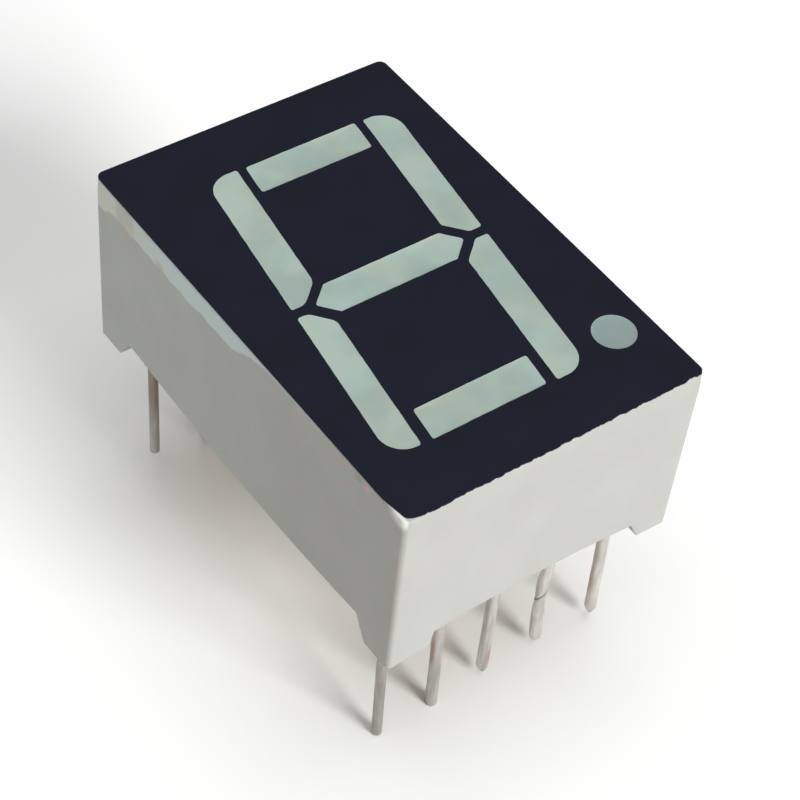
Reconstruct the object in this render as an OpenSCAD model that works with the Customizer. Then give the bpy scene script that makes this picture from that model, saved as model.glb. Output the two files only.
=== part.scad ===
// A single digit, seven segment light display with a decimal point, on ten pins.
// The origin is the centre of the pin pattern, on the plane of the casing's four feet.
// +X runs to the right of the digit, +Y to its top and +Z out of its face.

/* [Casing] */
// Width of the face, across the digit
case_w = 12.6; // [12.5:0.1:14]
// Length of the face, along the digit
case_l = 19; // [18.8:0.1:21]
// Height from the feet to the face
case_h = 8; // [7:0.1:10]
// How far each side wall leans in from the face down to the feet
case_draft = 0.08; // [0:0.01:0.12]
// Radius of the four upright corners
case_corner_r = 0.3; // [0.2:0.05:0.6]
// Thickness of the two long walls at the face
long_wall_t = 0.6; // [0.5:0.05:0.65]
// Thickness of the two short walls at the face
short_wall_t = 0.8; // [0.6:0.05:0.9]
// Height of the feet, from their ends to the rim between them
foot_h = 0.95; // [0.4:0.05:1]
// Length of a foot along each wall at its end
foot_l = 1.5; // [1:0.1:1.6]
// Length of a foot along each wall where it joins the rim
foot_root_l = 2.05; // [1.6:0.05:2.2]

/* [Digit] */
// Height of the digit
digit_h = 14.2; // [13.6:0.1:14.4]
// Lean of the digit to the right, in degrees
digit_lean = 7.7; // [0:0.1:8]
// Centre of the digit across the face
digit_x = -0.06; // [-0.1:0.01:0]
// Centre of the digit along the face
digit_y = -0.01; // [-0.1:0.01:0.1]
// Width of an upright bar
upright_w = 1.32; // [1.2:0.02:1.4]
// Width of the lower left bar, whose inner edge the print narrows
lower_left_w = 1.2; // [1.2:0.02:1.32]
// Distance of an upright bar's middle line from the digit's middle
upright_x = 3.41; // [3.3:0.01:3.45]
// Gap between an upper and a lower upright bar
waist_gap = 0.41; // [0.3:0.01:0.5]
// Height of a level bar
level_h = 1.4; // [1.2:0.02:1.5]
// Length of the top bar
level_l = 4.8; // [4.6:0.02:4.8]
// Length of the bottom bar
bottom_l = 4.74; // [4.6:0.02:4.8]
// Length of the pointed middle bar, from point to point
middle_l = 6.35; // [6.2:0.05:6.4]
// How far the top and the bottom bar stay inside the digit's height
level_inset = 0.05; // [0:0.01:0.1]
// How far the bottom bar is set to the left, and the middle bar half as far
bottom_bar_shift = 0.05; // [0:0.01:0.1]
// Radius of the outer corners of the upper left and the lower right bar
outer_corner_r = 0.85; // [0.6:0.05:0.95]
// Radius of the outer corners of the upper right and the lower left bar
round_corner_r = 1.05; // [0.6:0.05:1.05]
// How far those two bars stay inside the digit's height
round_bar_inset = 0.08; // [0:0.01:0.12]
// Radius of the small corners of each bar
small_corner_r = 0.1; // [0.05:0.01:0.15]
// Diameter of the decimal point
point_d = 1.62; // [1.4:0.02:1.7]
// Centre of the decimal point across the face
point_x = 4.79; // [4.7:0.01:4.85]
// Centre of the decimal point along the face
point_y = -6.38; // [-6.5:0.01:-6.2]
// Thickness of the dark print round the windows
print_t = 0.05; // [0.03:0.01:0.08]

/* [Reflector] */
// Length of a light well at the circuit board
well_l = 2.6; // [2.4:0.1:2.8]
// Width of a light well at the circuit board
well_w = 0.9; // [0.8:0.05:1]
// Diameter of the decimal point's well at the circuit board
point_well_d = 1.3; // [1.2:0.05:1.4]
// Thickness of the face over the two hollows inside the digit
hollow_roof_t = 1.4; // [1:0.1:2]

/* [Circuit board] */
// Thickness of the board
board_t = 1; // [0.8:0.1:1.2]
// Height of the board's back above the feet
board_z = 1.6; // [1.5:0.05:1.7]
// Gap between the board and the walls round it
board_gap = 0.1; // [0.05:0.01:0.15]
// Gap between the board and the reflector in front of it
chip_gap = 0.15; // [0.1:0.01:0.2]
// Thickness of the copper
copper_t = 0.035; // [0.02:0.005:0.05]
// Width of a copper track
track_w = 0.3; // [0.2:0.02:0.36]

/* [Pins] */
// Pins in each of the two rows
pins_per_row = 5; // [5]
// Distance between neighbouring pins
pin_pitch = 2.54; // [2.54]
// Distance between the two rows
row_pitch = 15.24; // [15.24]
// Diameter of a pin
pin_d = 0.46; // [0.45:0.01:0.55]
// Length of a pin below the feet
pin_drop = 6.8; // [3:0.1:8]

/* [Light chips] */
// Side of a light chip
chip_w = 0.28; // [0.24:0.01:0.32]
// Thickness of a light chip
chip_t = 0.2; // [0.15:0.01:0.25]
// Distance between a chip and the far end of its wire
wire_span = 1; // [0.9:0.05:1.1]
// Diameter of a bond wire
wire_d = 0.04; // [0.03:0.005:0.06]

/* [Hidden] */

$fn = 48;
over = 1;                     // how far a cutting shape runs past what it cuts
arc_steps = 4;                // chords in a small corner
wide_arc_steps = 10;          // chords in an outer corner
lean = tan(digit_lean);

// Heights, from the feet up
case_top_z = case_h - print_t;
board_front_z = board_z + board_t;
copper_top_z = board_front_z + copper_t;
reflector_z = board_front_z + chip_gap;
hollow_top_z = case_h - hollow_roof_t;

// The opening in the back of the casing, and the board in it
opening_w = case_w - 2 * long_wall_t;
opening_l = case_l - 2 * short_wall_t;
opening_r = 0.35;
board_w = opening_w - 2 * board_gap;
board_l = opening_l - 2 * board_gap;
board_r = 0.3;

// The resin that rises up the walls behind the board
fillet_h = 0.25;
fillet_w = 0.4;
fillet_edge = 0.05;

// The digit's bars are numbered a to g as on every such display, and p is the decimal point
A = 0;
B = 1;
C = 2;
D = 3;
E = 4;
F = 5;
G = 6;
P = 7;
bars = [A, B, C, D, E, F, G];
lights = [A, B, C, D, E, F, G, P];
upright_l = (digit_h - waist_gap) / 2;
upright_y = (digit_h + waist_gap) / 4;
level_y = digit_h / 2 - level_inset - level_h / 2;
waist_cut = 0.78;             // leg of the slanted cut on an upright bar, towards the middle bar
cut_corner_r = 0.25;          // radius of the cut's corners on the two right bars
soft_cut_corner_r = 0.5;      // radius of the cut's corners on the two left bars

// Holes, pads and solder at each pin
hole_d = 0.72;
barrel_t = 0.04;
ring_d = 1;
solder_d = 0.9;
solder_end_d = 0.54;
solder_z = 0.7;
swage_z = 0.9;                // the pin is flattened from here up, to hold in its hole
swage_w = 0.5;
swage_t = 0.3;
tip_l = 0.15;
tip_d = 0.32;

// Chips, their pads and their wires
bond_t = 0.02;
bond_d = 0.42;
die_pad_w = 0.5;
wire_pad_d = 0.4;
chip_back = 0.45;             // part of the wire's span that lies behind the bar's middle
point_span = 0.65;
point_chip_back = 0.3;
chip_z = copper_top_z + bond_t;
chip_top_z = chip_z + chip_t;
ball_d = 0.1;
ball_t = 0.03;

// Pins are numbered round the part as seen from the front, from the bottom left
function pin_row_x(i) = (i - (pins_per_row - 1) / 2) * pin_pitch;
function pin_at(n) = n <= pins_per_row
    ? [pin_row_x(n - 1), -row_pitch / 2]
    : [pin_row_x(2 * pins_per_row - n), row_pitch / 2];
pin_numbers = [1:2 * pins_per_row];
common_pins = [3, 8];
light_pins = [7, 6, 4, 2, 1, 9, 10, 5];      // for a, b, c, d, e, f, g and the point

// Plane geometry

function unit(v) = v / norm(v);

// From upright digit coordinates to the leaning digit on the face
function leaned(p) = [digit_x + p.x + p.y * lean, digit_y + p.y];

// The arc that rounds corner b of the path a, b, c
function corner(a, b, c, r, steps) =
    let (
        u = unit(a - b),
        v = unit(c - b),
        half = acos(u * v) / 2,
        centre = b + unit(u + v) * r / sin(half),
        from = b + u * r / tan(half) - centre,
        to = b + v * r / tan(half) - centre,
        turn = (180 - 2 * half) * sign(cross(from, to))
    )
    [
        for (i = [0:steps])
            let (t = turn * i / steps)
            centre + [from.x * cos(t) - from.y * sin(t), from.x * sin(t) + from.y * cos(t)]
    ];

function rounded(points, radii, steps) =
    let (n = len(points))
    [
        for (i = [0:n - 1])
            each corner(points[(i + n - 1) % n], points[i], points[(i + 1) % n], radii[i], steps[i])
    ];

function is_upright(s) = s == B || s == C || s == E || s == F;
function is_round(s) = s == B || s == E;
function bar_size(s) = is_upright(s)
    ? [s == E ? lower_left_w : upright_w, upright_l - (is_round(s) ? round_bar_inset : 0)]
    : [s == G ? middle_l : s == D ? bottom_l : level_l, level_h];

// Outline of an upright bar about its own centre, for the upper right place:
// the digit's outer corner is at the top right and the slanted cut at the bottom left
function upright_outline(s) =
    let (
        x = bar_size(s).x / 2,
        y = bar_size(s).y / 2,
        cut_r = s == E || s == F ? soft_cut_corner_r : cut_corner_r,
        outer_r = is_round(s) ? round_corner_r : outer_corner_r
    )
    rounded(
        [[-x, y], [-x, waist_cut - y], [waist_cut - x, -y], [x, -y], [x, y]],
        [small_corner_r, cut_r, cut_r, small_corner_r, outer_r],
        [arc_steps, arc_steps, arc_steps, arc_steps, wide_arc_steps]
    );

function level_outline(s) =
    let (x = bar_size(s).x / 2, y = level_h / 2)
    rounded(
        [[-x, y], [-x, -y], [x, -y], [x, y]],
        [for (i = [1:4]) small_corner_r],
        [for (i = [1:4]) arc_steps]
    );

middle_outline =
    let (x = middle_l / 2, y = level_h / 2)
    rounded(
        [[-x, 0], [y - x, -y], [x - y, -y], [x, 0], [x - y, y], [y - x, y]],
        [for (i = [1:6]) small_corner_r],
        [for (i = [1:6]) arc_steps]
    );

// Each bar: its centre in the upright digit, its outline and which way round that lies
bar_centres = [
    [0, level_y],
    [upright_x, upright_y - round_bar_inset / 2],
    [upright_x, -upright_y],
    [-bottom_bar_shift, -level_y],
    [-upright_x - (upright_w - lower_left_w) / 2, round_bar_inset / 2 - upright_y],
    [-upright_x, upright_y],
    [-bottom_bar_shift / 2, 0]
];
bar_flips = [[1, 1], [1, 1], [1, -1], [1, 1], [-1, -1], [-1, 1], [1, 1]];
function bar_outline(s) = is_upright(s) ? upright_outline(s) : s == G ? middle_outline : level_outline(s);
function well_size(s) = is_upright(s) ? [well_w, well_l] : [well_l, well_w];

// Points of a bar's outline on the face, anticlockwise, with its size scaled about its centre
function bar_points(s, scales = [1, 1]) =
    let (
        flip = bar_flips[s],
        centre = bar_centres[s],
        outline = bar_outline(s),
        n = len(outline)
    )
    [
        for (i = [0:n - 1])
            let (p = outline[flip.x * flip.y > 0 ? i : n - 1 - i])
            leaned([centre.x + p.x * flip.x * scales.x, centre.y + p.y * flip.y * scales.y])
    ];
function well_scales(s) = [
    well_size(s).x / bar_size(s).x,
    well_size(s).y / bar_size(s).y
];

// Places of the chips and of the pads that their wires run to
point_way = unit([0.3, -1]);
up_way = unit([lean, 1]);
function way(s) =
    s == A ? [1, 0] :
    s == B || s == F ? up_way :
    s == C || s == E ? -up_way :
    s == P ? point_way :
    [-1, 0];
function light_at(s) = s == P ? [point_x, point_y] : leaned(bar_centres[s]);
function span(s) = s == P ? point_span : wire_span;
function chip_at(s) = light_at(s) - way(s) * (s == P ? point_chip_back : chip_back);
function wire_pad_at(s) = chip_at(s) + way(s) * span(s);

// Shared solids

// A plate with rounded corners, from height z up
module plate(w, l, r, z, t) {
    translate([0, 0, z])
        linear_extrude(t) {
            square([w - 2 * r, l], center = true);
            square([w, l - 2 * r], center = true);
            for (x = [-1, 1], y = [-1, 1])
                translate([x * (w / 2 - r), y * (l / 2 - r)])
                    circle(r);
        }
}

// A trapezium in the XZ plane, extruded both ways along Y
module trapezium_y(low_w, high_w, z, h, depth) {
    translate([0, 0, z])
        rotate([90, 0, 0])
            linear_extrude(depth, center = true)
                polygon([[-low_w / 2, 0], [low_w / 2, 0], [high_w / 2, h], [-high_w / 2, h]]);
}

// A block whose four sides slope from the low size to the high one
module sloped_block(low, high, z, h) {
    intersection() {
        trapezium_y(low.x, high.x, z, h, 2 * max(low.y, high.y));
        rotate([0, 0, 90])
            trapezium_y(low.y, high.y, z, h, 2 * max(low.x, high.x));
    }
}

// A solid between two rings of points with the same count, both anticlockwise from above
module loft(low, high, z, h) {
    n = len(low);
    polyhedron(
        points = [
            for (p = low) [p.x, p.y, z],
            for (p = high) [p.x, p.y, z + h]
        ],
        faces = [
            [for (i = [0:n - 1]) i],
            [for (i = [0:n - 1]) 2 * n - 1 - i],
            for (i = [0:n - 1]) each [
                [i, n + i, (i + 1) % n],
                [(i + 1) % n, n + i, n + (i + 1) % n]
            ]
        ]
    );
}

// A bar's light well, from the reflector's back to the casing's top
module bar_well(s) {
    loft(bar_points(s, well_scales(s)), bar_points(s), reflector_z, case_top_z - reflector_z);
}

module point_well() {
    translate([point_x, point_y, reflector_z])
        cylinder(h = case_top_z - reflector_z, d1 = point_well_d, d2 = point_d);
}

// The eight windows as they cross the dark print
module windows(z, t) {
    translate([0, 0, z])
        linear_extrude(t)
            for (s = bars)
                polygon(bar_points(s));
    translate([point_x, point_y, z])
        cylinder(h = t, d = point_d);
}

// The two hollows in the back of the reflector, inside the digit's two loops
module hollows() {
    for (side = [-1, 1])
        translate([leaned([0, side * upright_y]).x, digit_y + side * (level_y / 2), 0])
            sloped_block([3.9, 3.5], [3.3, 2.9], reflector_z, hollow_top_z - reflector_z);
}

// One run of copper with round ends
module run(from, to) {
    reach = to - from;
    translate(from)
        circle(d = track_w);
    translate(to)
        circle(d = track_w);
    translate(from)
        rotate(atan2(reach.y, reach.x))
            translate([0, -track_w / 2])
                square([norm(reach), track_w]);
}

module route(points) {
    for (i = [1:len(points) - 1])
        run(points[i - 1], points[i]);
}

// The copper that joins one light's wire to its pin
module light_net(s) {
    pad = wire_pad_at(s);
    pin = pin_at(light_pins[s]);
    route(s == G ? [pad, [pin.x, pad.y], pin] : [pad, pin]);
    translate(pad)
        circle(d = s == P ? track_w : wire_pad_d);
    translate(pin)
        circle(d = ring_d);
}

// The copper that joins the chips to the two common pins
module common_net() {
    route([for (n = common_pins) pin_at(n)]);
    for (n = common_pins)
        translate(pin_at(n))
            circle(d = ring_d);
    for (s = bars)
        route([[0, chip_at(s).y], chip_at(s)]);
    route([chip_at(C), [chip_at(P).x, chip_at(C).y], chip_at(P)]);
    for (s = lights)
        translate(chip_at(s))
            square(die_pad_w, center = true);
}

module at_pins() {
    for (n = pin_numbers)
        translate([pin_at(n).x, pin_at(n).y, 0])
            children();
}

// The inside of a hole's copper lining
module pin_bore(z, t) {
    translate([0, 0, z])
        cylinder(h = t, d = hole_d - 2 * barrel_t);
}

module back_ring() {
    translate([0, 0, board_z - copper_t])
        cylinder(h = copper_t, d = ring_d);
}

module solder_cone() {
    translate([0, 0, solder_z])
        cylinder(h = board_z - copper_t - solder_z, d1 = solder_end_d, d2 = solder_d);
}

// The flattened length of a pin, which grips its hole
module swage() {
    translate([-swage_w / 2, -swage_t / 2, swage_z])
        cube([swage_w, swage_t, copper_top_z - swage_z]);
}

module round_shank() {
    translate([0, 0, tip_l - pin_drop])
        cylinder(h = swage_z + pin_drop - tip_l, d = pin_d);
}

// The pieces

module housing() {
    color([0.83, 0.83, 0.8])
        difference() {
            intersection() {
                plate(case_w, case_l, case_corner_r, 0, case_top_z);
                sloped_block(
                    [case_w - 2 * case_draft, case_l - 2 * case_draft],
                    [case_w, case_l],
                    0,
                    case_top_z
                );
            }
            plate(opening_w, opening_l, opening_r, -over, reflector_z + over);
            foot_gap(case_w, case_l);
            rotate([0, 0, 90])
                foot_gap(case_l, case_w);
            for (s = bars)
                bar_well(s);
            point_well();
            hollows();
        }
}

// Takes the material between the feet off the two walls that face along Y
module foot_gap(w, l) {
    foot_slope = (foot_root_l - foot_l) / foot_h;
    trapezium_y(
        w - 2 * (foot_l - foot_slope * over),
        w - 2 * foot_root_l,
        -over,
        foot_h + over,
        l + 2 * over
    );
}

module face_print() {
    color([0.11, 0.12, 0.16])
        difference() {
            plate(case_w, case_l, case_corner_r, case_top_z, print_t);
            windows(case_top_z - over, print_t + 2 * over);
        }
}

module cast_resin() {
    color([0.67, 0.73, 0.69])
        difference() {
            union() {
                for (s = bars)
                    bar_well(s);
                point_well();
                windows(case_top_z, print_t);
                hollows();
                plate(opening_w, opening_l, opening_r, board_z - fillet_h, reflector_z - board_z + fillet_h);
            }
            plate(board_w, board_l, board_r, board_z, board_t);
            sloped_block(
                [opening_w - 2 * fillet_edge, opening_l - 2 * fillet_edge],
                [opening_w - 2 * fillet_w, opening_l - 2 * fillet_w],
                board_z - fillet_h,
                fillet_h
            );
            copper_sheet();
            at_pins() {
                pin_bore(board_front_z, copper_t);
                back_ring();
                solder_cone();
            }
            die_bonds();
            for (s = lights) {
                chip(s);
                wire(s);
            }
        }
}

module circuit_board() {
    color([0.82, 0.78, 0.62])
        difference() {
            plate(board_w, board_l, board_r, board_z, board_t);
            at_pins()
                translate([0, 0, board_z - over])
                    cylinder(h = board_t + 2 * over, d = hole_d);
        }
}

module copper_sheet() {
    translate([0, 0, board_front_z])
        linear_extrude(copper_t) {
            common_net();
            for (s = lights)
                light_net(s);
        }
}

module front_tracks() {
    color([0.72, 0.45, 0.25])
        difference() {
            copper_sheet();
            at_pins()
                pin_bore(board_front_z - over, 2 * over);
        }
}

module plated_holes() {
    color([0.75, 0.5, 0.3])
        at_pins()
            difference() {
                union() {
                    back_ring();
                    translate([0, 0, board_z])
                        cylinder(h = board_t, d = hole_d);
                }
                pin_bore(board_z - over, board_t + 2 * over);
            }
}

module solder_joints() {
    color([0.7, 0.71, 0.72])
        at_pins()
            difference() {
                union() {
                    solder_cone();
                    pin_bore(board_z - copper_t, copper_top_z - board_z + copper_t);
                }
                swage();
                round_shank();
            }
}

module pin(n) {
    color([0.66, 0.64, 0.6])
        translate([pin_at(n).x, pin_at(n).y, 0]) {
            swage();
            round_shank();
            translate([0, 0, -pin_drop])
                cylinder(h = tip_l, d1 = tip_d, d2 = pin_d);
        }
}

module die_bonds() {
    color([0.6, 0.6, 0.6])
        for (s = lights)
            translate([chip_at(s).x, chip_at(s).y, copper_top_z])
                cylinder(h = bond_t, d = bond_d);
}

module chip(s) {
    color([0.55, 0.2, 0.15])
        translate([chip_at(s).x - chip_w / 2, chip_at(s).y - chip_w / 2, chip_z])
            cube([chip_w, chip_w, chip_t]);
}

// A bond wire: a ball on the chip, a half circle and a straight drop to its pad
module wire(s) {
    arc_z = chip_top_z + 2 * ball_t;
    color([0.85, 0.65, 0.2])
        translate([chip_at(s).x, chip_at(s).y, 0])
            rotate([0, 0, atan2(way(s).y, way(s).x)]) {
                translate([0, 0, chip_top_z])
                    cylinder(h = ball_t, d = ball_d);
                translate([0, 0, chip_top_z])
                    cylinder(h = arc_z - chip_top_z, d = wire_d);
                translate([span(s) / 2, 0, arc_z])
                    rotate([90, 0, 0])
                        rotate_extrude(angle = 180)
                            translate([span(s) / 2, 0])
                                circle(d = wire_d);
                translate([span(s), 0, copper_top_z])
                    cylinder(h = arc_z - copper_top_z, d = wire_d);
            }
}

housing();
face_print();
cast_resin();
circuit_board();
front_tracks();
plated_holes();
solder_joints();
die_bonds();
pin(1);  // pin_1
pin(2);  // pin_2
pin(3);  // pin_3
pin(4);  // pin_4
pin(5);  // pin_5
pin(6);  // pin_6
pin(7);  // pin_7
pin(8);  // pin_8
pin(9);  // pin_9
pin(10);  // pin_10
chip(A);  // chip_a
chip(B);  // chip_b
chip(C);  // chip_c
chip(D);  // chip_d
chip(E);  // chip_e
chip(F);  // chip_f
chip(G);  // chip_g
chip(P);  // chip_point
wire(A);  // wire_a
wire(B);  // wire_b
wire(C);  // wire_c
wire(D);  // wire_d_bar
wire(E);  // wire_e
wire(F);  // wire_f
wire(G);  // wire_g
wire(P);  // wire_point
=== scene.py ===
"""Builds the visible pieces of a seven segment display round its fixed frame.

The frame's axes are used throughout: +X to the right of the digit, +Y to its top and +Z out of its face.
The origin is the centre of the pin pattern, on the plane of the casing's feet. Lengths are in metres.
"""

import math

import bmesh
import bpy
from bpy.props import FloatProperty, FloatVectorProperty, PointerProperty
from bpy.types import Operator, Panel, PropertyGroup
from mathutils import Euler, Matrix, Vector, noise


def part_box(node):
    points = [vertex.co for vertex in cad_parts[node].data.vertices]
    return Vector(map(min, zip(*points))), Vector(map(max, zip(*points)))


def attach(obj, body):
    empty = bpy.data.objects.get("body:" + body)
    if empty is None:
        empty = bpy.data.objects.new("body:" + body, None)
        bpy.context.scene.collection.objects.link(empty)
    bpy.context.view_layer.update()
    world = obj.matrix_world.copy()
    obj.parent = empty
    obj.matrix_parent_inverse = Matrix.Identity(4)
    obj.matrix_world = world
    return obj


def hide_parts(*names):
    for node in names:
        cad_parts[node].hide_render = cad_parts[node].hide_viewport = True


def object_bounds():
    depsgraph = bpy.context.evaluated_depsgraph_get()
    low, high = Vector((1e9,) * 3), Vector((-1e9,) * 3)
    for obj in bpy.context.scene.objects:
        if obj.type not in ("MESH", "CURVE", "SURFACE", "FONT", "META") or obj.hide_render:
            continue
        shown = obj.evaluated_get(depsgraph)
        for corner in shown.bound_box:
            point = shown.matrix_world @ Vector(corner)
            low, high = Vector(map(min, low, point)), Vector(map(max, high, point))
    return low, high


bl_info = {
    "name": "Seven Segment Display",
    "version": (1, 0, 0),
    "blender": (4, 5, 0),
    "location": "View3D > Sidebar > Display",
    "description": "Builds the visible pieces of a seven segment display",
    "category": "Add Mesh",
}

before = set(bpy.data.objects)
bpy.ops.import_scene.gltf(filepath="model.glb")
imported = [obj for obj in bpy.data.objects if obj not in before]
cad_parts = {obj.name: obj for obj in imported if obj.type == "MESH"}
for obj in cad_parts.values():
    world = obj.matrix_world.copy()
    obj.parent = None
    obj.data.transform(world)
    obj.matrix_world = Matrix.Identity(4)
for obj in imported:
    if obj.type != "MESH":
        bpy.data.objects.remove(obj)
CAD_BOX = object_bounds()
CASING_LOW, CASING_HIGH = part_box("housing")
FACE_LOW, FACE_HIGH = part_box("face_print")
BOARD_LOW, BOARD_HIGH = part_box("circuit_board")
SOLDER_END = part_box("solder_joints")[0].z
HOLE_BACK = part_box("plated_holes")[0].z
PIN_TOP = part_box("front_tracks")[1].z

MM = 0.001
LIGHT_NAMES = ("a", "b", "c", "d", "e", "f", "g", "point")
CORNERS = ((-1, -1), (1, -1), (1, 1), (-1, 1))


# Properties


def length(name, description, millimetres):
    return FloatProperty(
        name=name,
        description=description,
        default=millimetres * MM,
        precision=6,
        unit="LENGTH",
        subtype="DISTANCE",
    )


def degrees(name, description, default):
    return FloatProperty(
        name=name, description=description, default=math.radians(default), subtype="ANGLE"
    )


def strength(name, description, default):
    return FloatProperty(name=name, description=description, default=default, min=0)


def colour(name, description, default):
    return FloatVectorProperty(
        name=name, description=description, default=default, size=3, min=0, max=1, subtype="COLOR"
    )


class CasingSizes(PropertyGroup):
    """The moulded casing"""

    draft: length("Draft", "How far a side wall leans in from the face to the feet", 0.08)
    top_corner_r: length("Corner radius at the face", "Radius of an upright corner at the face", 0.3)
    corner_r: length("Corner radius", "Radius of an upright corner below the face", 0.2)
    corner_h: length("Corner height", "Height over which the corner's radius changes", 0.75)
    shoulder_r: length("Shoulder radius", "Radius of the edge between the walls and the face", 0.09)
    rim_r: length("Rim radius", "Radius of the edges of the rim and the feet", 0.05)
    long_wall: length("Long wall", "Thickness of the two long walls", 0.6)
    short_wall: length("Short wall", "Thickness of the two short walls", 0.8)
    opening_r: length("Opening radius", "Radius of the corners of the opening in the back", 0.35)
    foot_l: length("Foot length", "Length of a foot along each wall at its end", 1.5)
    foot_root_l: length("Foot root length", "Length of a foot along each wall at the rim", 2.05)
    long_rim_z: length("Long rim height", "Height of the long walls' rim beside the feet", 1.06)
    long_rim_sag: length("Long rim sag", "How far the long walls' rim bows down", 0.36)
    short_rim_z: length("Short rim height", "Height of the short walls' rim beside the feet", 0.88)
    short_rim_rise: length("Short rim rise", "How far the short walls' rim bows up", 0.22)
    reflector_gap: length("Reflector gap", "Gap between the board and the reflector", 0.15)
    hollow_roof: length("Hollow roof", "Thickness of the face over the two hollows", 1.4)
    hollow_across: length("Hollow across", "Width of a hollow at the board", 3.9)
    hollow_along: length("Hollow along", "Length of a hollow at the board", 3.5)
    hollow_draft: length("Hollow draft", "How far a hollow's walls lean in by its roof", 0.3)


class DigitSizes(PropertyGroup):
    """The windows of the digit"""

    height: length("Height", "Height of the digit", 14.2)
    lean: degrees("Lean", "Lean of the digit", 7.7)
    across: length("Across", "Centre of the digit across the face", -0.06)
    along: length("Along", "Centre of the digit along the face", -0.01)
    upright_w: length("Upright width", "Width of an upright bar", 1.32)
    lower_left_w: length("Lower left width", "Width of the lower left bar", 1.2)
    upright_x: length("Upright place", "Distance of an upright bar from the digit's middle", 3.41)
    waist_gap: length("Waist gap", "Gap between an upper and a lower upright bar", 0.41)
    waist_cut: length("Waist cut", "Leg of the slanted cut on an upright bar", 0.78)
    level_h: length("Level height", "Height of a level bar", 1.4)
    level_l: length("Top length", "Length of the top bar", 4.8)
    bottom_l: length("Bottom length", "Length of the bottom bar", 4.74)
    level_inset: length("Level inset", "How far the top bar stays inside the digit", 0.05)
    middle_l: length("Middle length", "Length of the middle bar from point to point", 6.35)
    bottom_shift: length("Bottom shift", "How far the bottom bar is set to the left", 0.05)
    outer_r: length("Outer radius", "Radius of the upper left and lower right outer corners", 0.85)
    round_r: length("Round radius", "Radius of the upper right and lower left outer corners", 1.05)
    round_inset: length("Round inset", "How far the rounder bars stay inside the digit", 0.08)
    cut_r: length("Cut radius", "Radius of the slanted cut's corners on the right bars", 0.25)
    soft_cut_r: length("Soft cut radius", "Radius of the slanted cut's corners on the left bars", 0.5)
    small_r: length("Small radius", "Radius of the other corners of a bar", 0.1)
    point_d: length("Point diameter", "Diameter of the decimal point", 1.62)
    point_x: length("Point across", "Centre of the decimal point across the face", 4.79)
    point_y: length("Point along", "Centre of the decimal point along the face", -6.38)
    well_l: length("Well length", "Length of a light well at the board", 2.6)
    well_w: length("Well width", "Width of a light well at the board", 0.9)
    point_well_d: length("Point well", "Diameter of the decimal point's well at the board", 1.3)


class PrintSizes(PropertyGroup):
    """The dark print on the face"""

    ragged: length("Raggedness", "How far the print's edge wanders on the front side", 0.06)
    window_wear: length("Window wear", "How far the edges of the windows wander", 0.012)
    bevel: length("Bevel", "Rounding of the print's upper edge", 0.015)
    bare_corner: length("Bare corner", "Width of bare casing at the worn corner", 0.2)
    bare_reach: length("Bare reach", "Length of bare casing along the left side of the worn corner", 1.3)


class ResinSizes(PropertyGroup):
    """The cast resin"""

    sink: length("Sink", "How far the middle of a window sinks as the resin sets", 0.03)
    climb: length("Climb", "How far the resin climbs the walls behind the board", 0.3)
    reach: length("Reach", "How far the resin reaches over the board's back", 0.42)
    wander: length("Wander", "How far the resin's edge wanders on the board", 0.09)


class PinSizes(PropertyGroup):
    """The pins and their solder"""

    pitch: length("Pitch", "Distance between neighbouring pins", 2.54)
    row_pitch: length("Row pitch", "Distance between the two rows", 15.24)
    diameter: length("Diameter", "Diameter of a pin", 0.46)
    grip_z: length("Grip height", "Height where a pin becomes flat to grip its hole", 0.9)
    grip_w: length("Grip width", "Width of the flattened length", 0.5)
    grip_t: length("Grip thickness", "Thickness of the flattened length", 0.3)
    bore: length("Bore", "Diameter of a plated hole", 0.64)
    solder_d: length("Solder diameter", "Diameter of a solder joint on the board", 0.9)


class FinishColours(PropertyGroup):
    """The colours of the finishes"""

    plastic: colour("White plastic", "The moulded casing", (0.445, 0.445, 0.425))
    print_ink: colour("Print", "The print on the face", (0.0056, 0.0071, 0.0170))
    resin: colour("Resin", "The cast resin", (0.358, 0.430, 0.392))
    tin: colour("Tin", "The tinned pins", (0.54, 0.53, 0.50))
    solder: colour("Solder", "The solder joints", (0.62, 0.62, 0.61))
    laminate: colour("Laminate", "The circuit board", (0.50, 0.44, 0.24))
    copper: colour("Copper", "The tracks and the plated holes", (0.72, 0.38, 0.22))
    glue: colour("Silver glue", "The glue under the chips", (0.52, 0.52, 0.50))
    chip: colour("Chip", "The light chips", (0.30, 0.06, 0.04))
    gold: colour("Gold", "The bond wires", (0.83, 0.60, 0.22))
    floor: colour("Floor", "The floor", (0.93, 0.93, 0.925))
    backdrop: colour("Backdrop", "What shows past the floor", (0.9, 0.9, 0.9))


class StageSettings(PropertyGroup):
    """The floor, the light and the camera"""

    floor_size: length("Floor size", "Side of the floor", 1400)
    camera_place: FloatVectorProperty(
        name="Camera place",
        description="Place of the camera",
        default=(-37.95 * MM, -45.34 * MM, 65.69 * MM),
        precision=6,
        unit="LENGTH",
        subtype="TRANSLATION",
    )
    camera_turn: FloatVectorProperty(
        name="Camera turn",
        description="Turn of the camera about X, Y and Z",
        default=tuple(math.radians(a) for a in (42.42, -4.55, -35.72)),
        subtype="EULER",
    )
    lens: FloatProperty(
        name="Lens", description="Focal length in millimetres", default=106.8, unit="CAMERA"
    )
    sky: strength("Sky", "Strength of the light from all round", 0.12)
    front_light: strength("Front light", "Strength of the soft light from the front", 3.0)
    front_spread: degrees("Front spread", "Angle that the front light covers", 26)
    front_way: FloatVectorProperty(
        name="Front direction",
        description="Way from the part towards the front light",
        default=(0.14, -0.88, 0.45),
        subtype="DIRECTION",
    )
    top_light: strength("Top light", "Strength of the soft light from above", 1.72)
    top_spread: degrees("Top spread", "Angle that the top light covers", 60)


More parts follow.
